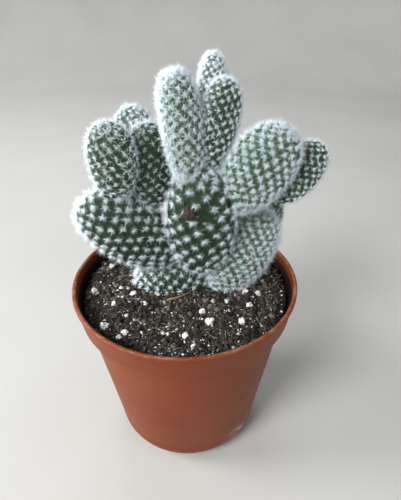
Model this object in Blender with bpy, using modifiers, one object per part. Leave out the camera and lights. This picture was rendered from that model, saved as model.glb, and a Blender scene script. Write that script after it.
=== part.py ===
"""Bunny-ears cactus in a 10.5 cm terracotta-coloured plastic nursery pot.

Metres, +Z up. The origin is the centre of the pot's underside, and the plant's
flat side faces -Y. Each pad is one solid that grew from the rim of its parent
pad. The base pad stands in a cavity of the soil, with the roots under it.
"""

import math
import random

import bmesh
import bpy
from mathutils import Matrix, Vector

MM = 0.001
GAP = 0.3 * MM          # kept between solids that touch
CUT_GAP = 0.4 * MM      # growth of a cutter, which leaves at least GAP on a slanted side

# Pot
POT_RIM_R = 52.5 * MM
POT_HEIGHT = 95.0 * MM
POT_WALL = 1.5 * MM
POT_BOTTOM_R = 36.5 * MM
POT_BODY_TOP_R = 47.2 * MM
COLLAR_HEIGHT = 13.5 * MM
COLLAR_BOTTOM_R = 50.4 * MM
LIP_HEIGHT = 1.8 * MM
LIP_WIDTH = 1.9 * MM
LIP_ROUND = 0.5 * MM    # bevel of the lip's edges
LIP_OVERHANG = 0.6 * MM
STEP_HEIGHT = 3.4 * MM  # the collar steps in to the body over this height
STEP_ROUND = 0.8 * MM
INNER_STEP_RISE = 1.5 * MM
INNER_STEP_DROP = 3.0 * MM
EDGE_ROUND = 12.0 * MM
EDGE_STEPS = 6
FOOT_CHAMFER = 1.0 * MM
FLOOR_LIFT = 2.0 * MM   # height of the drained channel over the standing surface
FLOOR_TOP = 4.0 * MM
FOOT_RING_R = 23.5 * MM
CENTRE_DISC_R = 10.0 * MM
DRAIN_HOLES = 6
DRAIN_HOLE_R = 3.5 * MM
DRAIN_CIRCLE_R = 17.0 * MM
DRAIN_HOLE_SIDES = 16
POT_STEPS = 48

# Soil
SOIL_CENTRE_Z = 88.0 * MM
SOIL_EDGE_Z = 86.0 * MM
SOIL_CLEARANCE = 0.6 * MM
SOIL_TOP_RINGS = 6
SOIL_STEPS = 36

# Pads: every solid is a squashed ovoid, drawn from its base point to its tip.
# They are the skins: the tufts of bristles stand 1.5 to 3 mm out of them.
PAD_AROUND = 20
PAD_RINGS = 14

# name: base, tip (mm), width, thickness (mm), turn about the growth axis (degrees),
# belly (1 is an even oval, more puts the widest part nearer the tip), outline fullness
PADS = {
    "pad_base": ((-3, 1, 66), (-5, 4, 104), 39, 17, 0, 1.35, 2.2),
    "pad_left_low": ((-6, 0, 103), (-38, -11, 140), 29, 12, 0, 1.2, 2.2),
    "pad_left_mid": ((-26, -10, 140), (-25, -13, 171), 18, 10, -10, 1.15, 2.2),
    "pad_left_inner": ((-12, -5, 134), (-13, -6, 168), 16, 8, 20, 1.15, 2.2),
    "pad_left_back": ((-18, -5, 135), (-20, 9, 171), 18, 8, -18, 1.35, 2.2),
    "pad_centre": ((8, -2, 99), (7, -12, 153), 27, 12, 0, 1.1, 2.2),
    "pad_top_left": ((4, -12, 148), (-2, -5, 186), 14, 10, 30, 1.1, 3.0),
    "pad_top_back": ((11, -6, 146), (12, 9, 190), 11, 8, -25, 1.3, 2.4),
    "pad_top_right": ((10, -10, 149), (17, 0, 183), 14, 8, 12, 1.6, 2.2),
    "pad_right": ((19, -10, 136), (40, -5, 166), 25, 10, 0, 1.15, 2.2),
    "pad_right_back": ((40, -5, 136), (55, 3, 158), 15, 8, -22, 1.3, 2.2),
    "pad_right_low_back": ((30, 4, 104), (40, 11, 131), 18, 8, 20, 1.2, 2.2),
    "pad_right_low": ((16, -3, 88), (36, 2, 128), 25, 11, -6, 1.1, 2.2),
}

# (pad kept whole, pad cut to fit it)
JOINTS = (
    ("pad_left_low", "pad_base"),
    ("pad_centre", "pad_base"),
    ("pad_right_low", "pad_base"),
    ("pad_centre", "pad_left_low"),
    ("pad_left_low", "pad_left_mid"),
    ("pad_left_low", "pad_left_inner"),
    ("pad_left_low", "pad_left_back"),
    ("pad_left_mid", "pad_left_inner"),
    ("pad_left_mid", "pad_left_back"),
    ("pad_left_inner", "pad_left_back"),
    ("pad_centre", "pad_top_left"),
    ("pad_centre", "pad_top_right"),
    ("pad_centre", "pad_top_back"),
    ("pad_centre", "pad_right"),
    ("pad_right", "pad_top_right"),
    ("pad_top_left", "pad_top_right"),
    ("pad_top_left", "pad_top_back"),
    ("pad_top_right", "pad_top_back"),
    ("pad_right", "pad_right_back"),
    ("pad_centre", "pad_right_low"),
    ("pad_right_low", "pad_right_low_back"),
    ("pad_right", "pad_right_low_back"),
)

OLD_SKIN = (0.035, 0.085, 0.035, 1)
YOUNG_SKIN = (0.10, 0.19, 0.08, 1)
YOUNG_PADS = ("pad_right", "pad_right_low", "pad_right_low_back", "pad_top_left")

# Roots: a tapered tap root and side roots, spread evenly round it
TAP_ROOT_TOP_Z = 70.0 * MM
TAP_ROOT_FOOT_Z = 34.0 * MM
TAP_ROOT_R = 5.0 * MM
SIDE_ROOTS = 5
FIRST_SIDE_ROOT = 8.0 * MM      # below the top of the tap root
SIDE_ROOT_SPACING = 3.0 * MM
SIDE_ROOT_LENGTH = 22.0 * MM
SIDE_ROOT_R = 1.6 * MM
SIDE_ROOT_DROP = 14.0 * MM

# Loose pieces on the soil
PERLITE = (  # x, y and size of each of the largest white grains (mm)
    (-43, -5, 3.2), (-24, -9, 3.4), (-34, -28, 4.4), (-25, -31, 3.2),
    (-32, -15, 2.8), (8, -19, 3.0), (11, -27, 4.0), (25, -27, 3.4),
    (1, -34, 3.6), (29, -17, 2.8), (28, -7, 3.8), (34, -7, 3.6),
    (-20, 28, 3.4), (12, 34, 3.0), (33, 22, 3.2), (-38, 14, 3.0),
)
STRAW_LENGTH = 11.0 * MM
STRAW_R = 0.7 * MM
STRAW_BEND = 1.2 * MM
STRAW_PLACE = (-2.5 * MM, -11.0 * MM)
STRAW_TURN = 25
BUD_SIZE = (2.0 * MM, 1.3 * MM, 3.2 * MM)
BUD_PLACE = (2.5 * MM, -15.9 * MM, 137 * MM)


def clear_scene():
    for thing in list(bpy.data.objects):
        bpy.data.objects.remove(thing, do_unlink=True)


def new_collection(name):
    collection = bpy.data.collections.new(name)
    bpy.context.scene.collection.children.link(collection)
    return collection


def material(name, colour, roughness, metallic=0.0):
    made = bpy.data.materials.new(name)
    made.use_nodes = True
    shader = made.node_tree.nodes["Principled BSDF"]
    shader.inputs["Base Color"].default_value = colour
    shader.inputs["Roughness"].default_value = roughness
    shader.inputs["Metallic"].default_value = metallic
    made.diffuse_color = colour
    return made


def add_object(name, mesh, collection, finish=None):
    obj = bpy.data.objects.new(name, mesh)
    collection.objects.link(obj)
    if finish:
        mesh.materials.append(finish)
        mesh.shade_smooth()
    else:
        obj.hide_render = True
        obj.display_type = "WIRE"
    return obj


def mesh_from(bm, name):
    mesh = bpy.data.meshes.new(name)
    bm.to_mesh(mesh)
    bm.free()
    return mesh


def subtract(target, cutter):
    boolean = target.modifiers.new("Cut " + cutter.name, "BOOLEAN")
    boolean.operation = "DIFFERENCE"
    boolean.object = cutter


def turned(name, profile, steps, collection, finish=None):
    """A solid of revolution about Z from (radius, height) points, up the inside and down the outside."""
    mesh = bpy.data.meshes.new(name)
    points = [(radius, 0, height) for radius, height in profile]
    mesh.from_pydata(points, [(i, i + 1) for i in range(len(points) - 1)], [])
    obj = add_object(name, mesh, collection, finish)
    screw = obj.modifiers.new("Turn", "SCREW")
    screw.axis = "Z"
    screw.steps = steps
    screw.render_steps = steps
    screw.use_smooth_shade = True
    screw.use_merge_vertices = True
    screw.merge_threshold = 0.00001
    return obj


def arc(centre, radius, start, end, count):
    """Points on an arc, (radius, height) about the centre, angles in degrees."""
    points = []
    for i in range(count + 1):
        angle = math.radians(start + (end - start) * i / count)
        points.append((centre[0] + radius * math.cos(angle), centre[1] + radius * math.sin(angle)))
    return points


def wall_radius(height):
    """The outer radius of the tapered body below the collar."""
    share = height / (POT_HEIGHT - COLLAR_HEIGHT)
    return POT_BOTTOM_R + (POT_BODY_TOP_R - POT_BOTTOM_R) * share


def inner_wall(clearance):
    """The step inside the wall, top first, as (radius, height) at a clearance from the wall's inner side."""
    collar_foot = POT_HEIGHT - COLLAR_HEIGHT
    inset = POT_WALL + clearance
    return [
        (COLLAR_BOTTOM_R - inset, collar_foot + INNER_STEP_RISE),
        (POT_BODY_TOP_R - inset - 0.4 * MM, collar_foot - INNER_STEP_DROP),
    ]


def inner_edge(clearance):
    """The rounded edge between the inside of the wall and the floor, wall first."""
    radius = EDGE_ROUND - POT_WALL
    centre = (wall_radius(EDGE_ROUND) - EDGE_ROUND - clearance, FLOOR_TOP + radius + clearance)
    return arc(centre, radius, 0, -90, EDGE_STEPS - 1)


def pot_profile():
    collar_foot = POT_HEIGHT - COLLAR_HEIGHT
    inside = [(0, FLOOR_TOP)] + inner_edge(0)[::-1] + inner_wall(0)[::-1]
    inside += [
        (POT_RIM_R - LIP_WIDTH, POT_HEIGHT - LIP_ROUND),
        (POT_RIM_R - LIP_WIDTH + LIP_ROUND, POT_HEIGHT),
    ]
    outside = [
        (POT_RIM_R - LIP_ROUND, POT_HEIGHT),
        (POT_RIM_R, POT_HEIGHT - LIP_ROUND),
        (POT_RIM_R, POT_HEIGHT - LIP_HEIGHT),
        (POT_RIM_R - LIP_OVERHANG, POT_HEIGHT - LIP_HEIGHT - LIP_OVERHANG / 2),
        (COLLAR_BOTTOM_R, collar_foot + STEP_ROUND),
        (COLLAR_BOTTOM_R - STEP_ROUND, collar_foot),
        (POT_BODY_TOP_R + STEP_ROUND, collar_foot - STEP_HEIGHT / 2),
        (POT_BODY_TOP_R, collar_foot - STEP_HEIGHT),
    ]
    outside += arc((wall_radius(EDGE_ROUND) - EDGE_ROUND, EDGE_ROUND), EDGE_ROUND, 0, -90, EDGE_STEPS)
    outside += [
        (FOOT_RING_R, 0),
        (FOOT_RING_R - FOOT_CHAMFER, FLOOR_LIFT),
        (CENTRE_DISC_R + FOOT_CHAMFER, FLOOR_LIFT),
        (CENTRE_DISC_R, 0),
        (0, 0),
    ]
    return inside + outside


def make_pot(parts, cutters):
    finish = material("pot_plastic", (0.42, 0.13, 0.075, 1), 0.5)
    pot = turned("pot", pot_profile(), POT_STEPS, parts, finish)
    for i in range(DRAIN_HOLES):
        angle = math.tau * i / DRAIN_HOLES
        bm = bmesh.new()
        bmesh.ops.create_cone(
            bm,
            cap_ends=True,
            segments=DRAIN_HOLE_SIDES,
            radius1=DRAIN_HOLE_R,
            radius2=DRAIN_HOLE_R,
            depth=4 * FLOOR_TOP,
        )
        cutter = add_object(f"drain_cutter_{i}", mesh_from(bm, "drain"), cutters)
        cutter.location = (DRAIN_CIRCLE_R * math.cos(angle), DRAIN_CIRCLE_R * math.sin(angle), FLOOR_TOP / 2)
        subtract(pot, cutter)


def soil_height(radius):
    """Top of the soil, which mounds gently towards the plant."""
    return SOIL_CENTRE_Z + (SOIL_EDGE_Z - SOIL_CENTRE_Z) * (radius / POT_RIM_R) ** 2


def make_soil(parts):
    finish = material("potting_soil", (0.035, 0.022, 0.016, 1), 0.95)
    edge_r = COLLAR_BOTTOM_R - POT_WALL - SOIL_CLEARANCE
    radii = [edge_r * i / SOIL_TOP_RINGS for i in range(SOIL_TOP_RINGS + 1)]
    profile = [(radius, soil_height(radius)) for radius in radii]
    profile += inner_wall(SOIL_CLEARANCE) + inner_edge(SOIL_CLEARANCE)
    profile.append((0, FLOOR_TOP + SOIL_CLEARANCE))
    return turned("soil", profile, SOIL_STEPS, parts, finish)


def pad_matrix(base, tip, turn):
    """Columns: across the pad, out of its flat side, along its growth; and the length."""
    along = tip - base
    length = along.length
    along.normalize()
    across = Vector((0, 1, 0)).cross(along).normalized()
    through = along.cross(across)
    frame = Matrix((across, through, along)).transposed().to_4x4()
    return Matrix.Translation(base) @ frame @ Matrix.Rotation(math.radians(turn), 4, "Z"), length


def pad_mesh(name, grow=0.0):
    base, tip, width, thickness, turn, belly, fullness = PADS[name]
    frame, length = pad_matrix(Vector(base) * MM, Vector(tip) * MM, turn)
    half_width = width * MM / 2 + grow
    half_thickness = thickness * MM / 2 + grow
    bm = bmesh.new()
    bmesh.ops.create_uvsphere(bm, u_segments=PAD_AROUND, v_segments=PAD_RINGS, radius=1)
    for vertex in bm.verts:
        share = (vertex.co.z + 1) / 2
        height = 2 * max(share, 0) ** belly - 1
        spread = max(1 - abs(height) ** fullness, 0) ** (1 / fullness)
        side = Vector((vertex.co.x, vertex.co.y))
        if side.length > 1e-6:
            side.normalize()
        vertex.co.x = side.x * spread * half_width
        vertex.co.y = side.y * spread * half_thickness
        vertex.co.z = share * (length + 2 * grow) - grow
    bm.transform(frame)
    return mesh_from(bm, name)


def make_pads(parts, cutters, soil):
    pads = {}
    old = material("old_pad_skin", OLD_SKIN, 0.55)
    young = material("young_pad_skin", YOUNG_SKIN, 0.55)
    for name in PADS:
        finish = young if name in YOUNG_PADS else old
        pads[name] = add_object(name, pad_mesh(name), parts, finish)
    grown = {}
    for kept, cut in JOINTS:
        if kept not in grown:
            grown[kept] = add_object(kept + "_cutter", pad_mesh(kept, CUT_GAP), cutters)
        subtract(pads[cut], grown[kept])
    subtract(soil, grown["pad_right_low"])


def tapered_bar(bm, start, end, start_r, end_r, segments=10):
    """A tapered round bar between two points, added to the mesh."""
    along = end - start
    turn = along.to_track_quat("Z", "Y").to_matrix().to_4x4()
    place = Matrix.Translation((start + end) / 2) @ turn
    bmesh.ops.create_cone(
        bm, cap_ends=True, segments=segments, radius1=start_r, radius2=end_r, depth=along.length, matrix=place
    )


def root_pieces(name, grow, collection, cutters, finish=None):
    """The tap root, and the side roots that are joined to it."""
    centre = Vector((PADS["pad_base"][0][0] * MM, PADS["pad_base"][0][1] * MM, 0))
    bm = bmesh.new()
    top = centre + Vector((0, 0, TAP_ROOT_TOP_Z + grow))
    foot = centre + Vector((0, 0, TAP_ROOT_FOOT_Z - grow))
    tapered_bar(bm, top, foot, TAP_ROOT_R + grow, TAP_ROOT_R / 4 + grow)
    tap = add_object(name, mesh_from(bm, name), collection, finish)
    for i in range(SIDE_ROOTS):
        angle = math.tau * i / SIDE_ROOTS
        out = Vector((math.cos(angle), math.sin(angle), 0))
        height = TAP_ROOT_TOP_Z - FIRST_SIDE_ROOT - i * SIDE_ROOT_SPACING
        start = centre + Vector((0, 0, height))
        end = start + out * (SIDE_ROOT_LENGTH + grow) - Vector((0, 0, SIDE_ROOT_DROP))
        bm = bmesh.new()
        tapered_bar(bm, start, end, SIDE_ROOT_R + grow, SIDE_ROOT_R / 3 + grow, 8)
        side = add_object(f"{name}_side_{i}", mesh_from(bm, "side_root"), cutters)
        join = tap.modifiers.new(f"Side root {i}", "BOOLEAN")
        join.operation = "UNION"
        join.object = side
    return tap


def make_roots(parts, cutters, soil):
    finish = material("root_bark", (0.42, 0.30, 0.18, 1), 0.85)
    roots = root_pieces("roots", 0.0, parts, cutters, finish)
    base_cutter = add_object("soil_cavity", pad_mesh("pad_base", CUT_GAP), cutters)
    subtract(roots, base_cutter)
    subtract(soil, base_cutter)
    subtract(soil, root_pieces("root_cavity", CUT_GAP, cutters, cutters))


def make_perlite(parts):
    """The largest white grains, which lie on the soil round the plant."""
    finish = material("perlite", (0.75, 0.74, 0.71, 1), 0.9)
    rng = random.Random(7)
    for i, (x, y, size) in enumerate(PERLITE):
        bm = bmesh.new()
        bmesh.ops.create_icosphere(bm, subdivisions=1, radius=size * MM / 2)
        for vertex in bm.verts:
            vertex.co *= rng.uniform(0.85, 1.0)
            vertex.co.z *= 0.8
        grain = add_object(f"perlite_{i + 1:02d}", mesh_from(bm, "perlite"), parts, finish)
        lowest = min(vertex.co.z for vertex in grain.data.vertices)
        inner_edge = math.hypot(x, y) * MM - size * MM / 2
        grain.location = (x * MM, y * MM, soil_height(inner_edge) + GAP - lowest)


def make_straw(parts):
    """A bent bit of straw on the soil in front of the plant."""
    curve = bpy.data.curves.new("straw", "CURVE")
    curve.dimensions = "3D"
    curve.bevel_depth = STRAW_R
    curve.bevel_resolution = 2
    curve.use_fill_caps = True
    spline = curve.splines.new("POLY")
    spline.points.add(4)
    for point, share in zip(spline.points, (-0.5, -0.25, 0, 0.25, 0.5)):
        point.co = (share * STRAW_LENGTH, STRAW_BEND * math.cos(math.pi * share), 0, 1)
    straw = bpy.data.objects.new("straw", curve)
    inner_end_r = Vector(STRAW_PLACE).length / 2
    straw.location = (*STRAW_PLACE, soil_height(inner_end_r) + STRAW_R + GAP)
    straw.rotation_euler.z = math.radians(STRAW_TURN)
    parts.objects.link(straw)
    curve.materials.append(material("straw", (0.40, 0.28, 0.15, 1), 0.8))


def make_withered_bud(parts):
    """A dry flower bud on the front of the centre pad, tilted with its skin."""
    bm = bmesh.new()
    bmesh.ops.create_uvsphere(bm, u_segments=12, v_segments=8, radius=1)
    bmesh.ops.scale(bm, vec=BUD_SIZE, verts=bm.verts)
    finish = material("withered_bud", (0.20, 0.09, 0.05, 1), 0.9)
    bud = add_object("withered_bud", mesh_from(bm, "withered_bud"), parts, finish)
    bud.location = BUD_PLACE
    base, tip = (Vector(point) for point in PADS["pad_centre"][:2])
    bud.rotation_euler.x = math.atan2(base.y - tip.y, tip.z - base.z)


def main():
    clear_scene()
    parts = new_collection("potted_paddle_cactus")
    cutters = new_collection("cutters")
    make_pot(parts, cutters)
    soil = make_soil(parts)
    make_pads(parts, cutters, soil)
    make_roots(parts, cutters, soil)
    make_perlite(parts)
    make_straw(parts)
    make_withered_bud(parts)


main()
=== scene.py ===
"""Looks of the potted bunny-ears cactus."""

import math

import bmesh
import bpy
import numpy as np
from mathutils import Matrix, Vector, noise
from mathutils.bvhtree import BVHTree


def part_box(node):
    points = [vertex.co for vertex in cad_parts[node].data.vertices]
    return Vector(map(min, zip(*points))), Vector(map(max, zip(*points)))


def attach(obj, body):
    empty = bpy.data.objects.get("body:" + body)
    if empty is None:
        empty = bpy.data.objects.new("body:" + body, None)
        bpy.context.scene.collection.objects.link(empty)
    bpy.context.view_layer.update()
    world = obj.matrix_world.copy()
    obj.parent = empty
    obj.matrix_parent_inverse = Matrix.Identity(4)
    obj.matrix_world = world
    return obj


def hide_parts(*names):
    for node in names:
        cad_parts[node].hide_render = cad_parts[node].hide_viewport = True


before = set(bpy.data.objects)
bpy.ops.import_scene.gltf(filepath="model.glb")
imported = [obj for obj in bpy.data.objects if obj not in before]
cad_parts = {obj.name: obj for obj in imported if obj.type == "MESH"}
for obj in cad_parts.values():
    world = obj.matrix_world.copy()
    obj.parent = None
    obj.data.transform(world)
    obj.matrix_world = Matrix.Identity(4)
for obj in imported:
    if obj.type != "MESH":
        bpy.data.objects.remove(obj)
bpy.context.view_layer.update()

MM = 0.001
SEED = 11

# Camera: a phone's wide lens, looking down at the plant from in front
CAMERA_PLACE = (0.0072, -0.1586, 0.2147)
CAMERA_PITCH = 56.35  # degrees from straight down
CAMERA_LENS = 30
CAMERA_SENSOR = 36

# Pot, inside the box of its CAD node
POT_STEPS = 160
POT_WALL = 1.5 * MM
POT_BOTTOM_R = 36.5 * MM
POT_BODY_TOP_R = 47.2 * MM
COLLAR_HEIGHT = 13.5 * MM
COLLAR_BOTTOM_R = 50.4 * MM
LIP_HEIGHT = 1.8 * MM
LIP_WIDTH = 1.9 * MM
EDGE_ROUND = 12.0 * MM
FLOOR_LIFT = 2.0 * MM
FLOOR_TOP = 4.0 * MM
FOOT_RING_R = 23.5 * MM
CENTRE_DISC_R = 10.0 * MM
DRAIN_HOLES = 6
DRAIN_HOLE_R = 3.5 * MM
DRAIN_CIRCLE_R = 17.0 * MM
SCUFF_HEIGHT = 12.0 * MM
SCUFF_SPREAD = 4.5 * MM
SCUFF_ANGLE = -46  # degrees round the pot from +X
SCUFF_ANGLE_SPREAD = 9
RIM_WEAR = 0.15
RIM_WEAR_SPREAD = 0.8 * MM
STAIN_AND_SHADE = 0.9  # soil stain and painted shade of the inner wall, from below the rim
STAIN_AND_SHADE_START = 2.0 * MM
STAIN_AND_SHADE_FADE = 5.0 * MM

# Pads: the parent that each grew from
PARENTS = {
    "pad_base": None,
    "pad_left_low": "pad_base", "pad_centre": "pad_base", "pad_right_low": "pad_base",
    "pad_left_mid": "pad_left_low", "pad_left_inner": "pad_left_low", "pad_left_back": "pad_left_low",
    "pad_top_left": "pad_centre", "pad_top_right": "pad_centre",
    "pad_top_back": "pad_centre", "pad_right": "pad_centre",
    "pad_right_back": "pad_right", "pad_right_low_back": "pad_right_low",
}
YOUNG_PADS = ("pad_right", "pad_right_low", "pad_right_low_back", "pad_top_left")

# Tufts of each pad: spacing in the middle and near the tip (mm), bristle length (mm),
# bristles in a tuft, and the half angle of the brush (degrees)
TUFTS = {
    "pad_base": (4.4, 3.8, 3.2, 92, 44),
    "pad_left_low": (5.2, 4.1, 3.0, 105, 54),
    "pad_left_mid": (3.6, 2.7, 2.4, 44, 74),
    "pad_left_inner": (3.4, 2.9, 1.8, 32, 66),
    "pad_left_back": (2.9, 2.4, 2.0, 52, 64),
    "pad_centre": (6.2, 3.7, 3.4, 118, 54),
    "pad_top_left": (3.2, 2.4, 2.7, 86, 72),
    "pad_top_back": (2.4, 2.0, 2.0, 60, 66),
    "pad_top_right": (2.9, 2.2, 2.0, 56, 62),
    "pad_right": (3.7, 2.8, 2.7, 120, 60),
    "pad_right_back": (2.9, 2.3, 1.9, 46, 60),
    "pad_right_low_back": (3.3, 2.8, 2.0, 58, 60),
    "pad_right_low": (3.6, 2.9, 2.9, 98, 64),
}

# Skins of the pads
SKIN_VOXEL = 0.55 * MM
SKIN_SWELL = 0.3 * MM  # closes the gaps at the necks
PLUMP = {"pad_left_inner": 1.0 * MM, "pad_left_low": 0.5 * MM}  # instead, beside the centre pad
SWELLING_WIDTH = 0.30  # of the low swelling under a tuft, in tuft spacings
SWELLING_HEIGHT = 0.11
WRINKLE_FREQUENCY = 350  # per metre
WRINKLE_HEIGHT = 0.09 * MM

# Places of the tufts
SECTIONS = 48
SECTION_POINTS = 72
SECTION_SPAN = (0.02, 0.98)  # first and last level, as shares of a half turn from foot to tip
FAR = 60 * MM  # past every pad's surface
GOLDEN_SHARE = (math.sqrt(5) - 1) / 2
EDGE_CROWDING = 0.7  # how much closer the tufts stand at a pad's narrow edges
TIP_CROWDING = 0.25  # and towards its tip
TIP_START = 0.75  # share of the surface below the crowded tip
JITTER = 0.035  # spread of a tuft's place, in tuft spacings
LATTICE_SLACK = 1.2 * MM  # how far from the skin a lattice point may lie
SOIL_CLEARANCE = 0.3 * MM
PAD_CLEARANCE = 0.5 * MM

# Bristles: fine ones, stiff rays among them, and strays that lean far out
BRISTLE_R = 0.065 * MM
SPINE_R = 0.105 * MM
SPINE_SHARE = 0.30
STRAY_SHARE = 0.14
FINE_TILT = (0, 0.85)  # lean from the tuft's axis, in half angles of its brush
SPINE_TILT = (0.35, 1.15)
STRAY_TILT = (0.75, 1.45)  # in radians
FINE_REACH = (0.30, 0.68)  # in bristle lengths
SPINE_REACH = (0.75, 1.15)
TUFT_VIGOUR = (0.85, 1.12)  # length of a whole tuft
EDGE_VIGOUR = 0.25  # how much longer bristles are at the edges and tip
LONG_EDGES = {"pad_left_inner": 1.1}  # the same on a pad that differs
FOOT_VIGOUR = 0.35  # how much longer they are at its lower end
GROWTH_LEAN = 0.08  # how far every bristle leans towards the pad's tip
ROOT_DEPTH = 0.05 * MM
AREOLE_R = 0.42 * MM
FELT_SIZE = (0.42 * MM, 0.40 * MM)  # radius and height of the felt cushion under a tuft


# ---- helpers

def link(obj):
    bpy.context.scene.collection.objects.link(obj)
    return obj


def paint(mesh, material):
    mesh.materials.clear()
    mesh.materials.append(material)


def add_piece(name, mesh, material, replaces=()):
    """A shown piece of the object, in place, riding on its one body."""
    obj = link(bpy.data.objects.new(name, mesh))
    paint(mesh, material)
    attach(obj, "root")
    if replaces:
        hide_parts(*replaces)
    return obj


def mesh_from_arrays(name, points, faces):
    """A smooth mesh from an N x 3 array of points and an M x 3 or M x 4 array of faces."""
    mesh = bpy.data.meshes.new(name)
    corners = faces.shape[1]
    mesh.vertices.add(len(points))
    mesh.vertices.foreach_set("co", points.astype(np.float32).ravel())
    mesh.loops.add(faces.size)
    mesh.loops.foreach_set("vertex_index", faces.astype(np.int32).ravel())
    mesh.polygons.add(len(faces))
    mesh.polygons.foreach_set("loop_start", np.arange(0, faces.size, corners, dtype=np.int32))
    mesh.polygons.foreach_set("use_smooth", np.full(len(faces), True))
    mesh.update(calc_edges=True)
    mesh.validate()
    return mesh


def vectors_of(items, key):
    """One vector of each mesh item, as N x 3."""
    vectors = np.zeros(len(items) * 3, np.float32)
    items.foreach_get(key, vectors)
    return vectors.reshape(-1, 3).astype(float)


def mesh_points(mesh):
    return vectors_of(mesh.vertices, "co")


def mesh_normals(mesh):
    return vectors_of(mesh.vertex_normals, "vector")


def move_points(mesh, points):
    mesh.vertices.foreach_set("co", points.astype(np.float32).ravel())
    mesh.update()


def set_tint(mesh, values, name="tint"):
    """A float on each vertex, from 0 to 1, that the materials read as an attribute."""
    attribute = mesh.attributes.new(name, "FLOAT", "POINT")
    attribute.data.foreach_set("value", np.asarray(values, np.float32))


def modified_mesh(mesh, name, *modifiers):
    """The mesh after modifiers, each given as (type, settings)."""
    obj = link(bpy.data.objects.new(name, mesh))
    for kind, settings in modifiers:
        modifier = obj.modifiers.new(kind, kind)
        for key, value in settings.items():
            setattr(modifier, key, value)
    depsgraph = bpy.context.evaluated_depsgraph_get()
    made = bpy.data.meshes.new_from_object(obj.evaluated_get(depsgraph))
    bpy.data.objects.remove(obj)
    return made


# ---- materials

class Nodes:
    """Short calls for the nodes of one material, in object coordinates."""

    def __init__(self, name):
        self.material = bpy.data.materials.new(name)
        self.material.use_nodes = True
        self.tree = self.material.node_tree
        self.shader = self.tree.nodes["Principled BSDF"]
        self.place = self.tree.nodes.new("ShaderNodeTexCoord").outputs["Object"]

    def link(self, source, target):
        self.tree.links.new(source, target)

    def fill(self, socket, value):
        """A constant in a socket, or a link to it."""
        if isinstance(value, bpy.types.NodeSocket):
            self.link(value, socket)
        else:
            socket.default_value = (*value, 1) if isinstance(value, tuple) else value

    def set(self, **values):
        for key, value in values.items():
            self.shader.inputs[key.replace("_", " ")].default_value = value

    def noise(self, scale, detail=3.0, roughness=0.5, distortion=0.0, place=None):
        node = self.tree.nodes.new("ShaderNodeTexNoise")
        values = {"Scale": scale, "Detail": detail, "Roughness": roughness, "Distortion": distortion}
        for key, value in values.items():
            node.inputs[key].default_value = value
        self.link(place or self.place, node.inputs["Vector"])
        return node.outputs["Fac"]

    def voronoi(self, scale, feature="F1"):
        node = self.tree.nodes.new("ShaderNodeTexVoronoi")
        node.feature = feature
        node.inputs["Scale"].default_value = scale
        self.link(self.place, node.inputs["Vector"])
        return node.outputs["Distance"]

    def stretched(self, x, y, z):
        """The coordinates, stretched along the axes."""
        node = self.tree.nodes.new("ShaderNodeMapping")
        node.inputs["Scale"].default_value = (x, y, z)
        self.link(self.place, node.inputs["Vector"])
        return node.outputs["Vector"]

    def attribute(self, name):
        node = self.tree.nodes.new("ShaderNodeAttribute")
        node.attribute_name = name
        return node.outputs["Fac"]

    def ramp(self, source, stops):
        """A colour or grey ramp from (position, colour) stops."""
        node = self.tree.nodes.new("ShaderNodeValToRGB")
        elements = node.color_ramp.elements
        while len(elements) < len(stops):
            elements.new(0.5)
        for element, (position, colour) in zip(elements, stops):
            element.position = position
            element.color = (*colour, 1) if isinstance(colour, tuple) else (colour, colour, colour, 1)
        self.link(source, node.inputs["Fac"])
        return node.outputs["Color"]

    def mix(self, share, first, second):
        """The second colour over the first by a share; each may be a socket or a constant."""
        node = self.tree.nodes.new("ShaderNodeMix")
        node.data_type = "RGBA"
        self.fill(node.inputs[0], share)
        self.fill(node.inputs[6], first)
        self.fill(node.inputs[7], second)
        return node.outputs[2]

    def math(self, operation, first, second):
        node = self.tree.nodes.new("ShaderNodeMath")
        node.operation = operation
        self.fill(node.inputs[0], first)
        self.fill(node.inputs[1], second)
        return node.outputs[0]

    def scaled(self, source, low, high):
        """The source from 0..1 to low..high."""
        node = self.tree.nodes.new("ShaderNodeMapRange")
        node.inputs["To Min"].default_value = low
        node.inputs["To Max"].default_value = high
        self.link(source, node.inputs["Value"])
        return node.outputs["Result"]

    def colour(self, source):
        self.link(source, self.shader.inputs["Base Color"])

    def roughness(self, source):
        self.link(source, self.shader.inputs["Roughness"])

    def bump(self, *layers):
        """Bumps in a chain, each (height socket, depth in metres)."""
        normal = None
        for height, depth in layers:
            node = self.tree.nodes.new("ShaderNodeBump")
            node.inputs["Distance"].default_value = depth
            self.link(height, node.inputs["Height"])
            if normal:
                self.link(normal, node.inputs["Normal"])
            normal = node.outputs["Normal"]
        self.link(normal, self.shader.inputs["Normal"])


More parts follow.
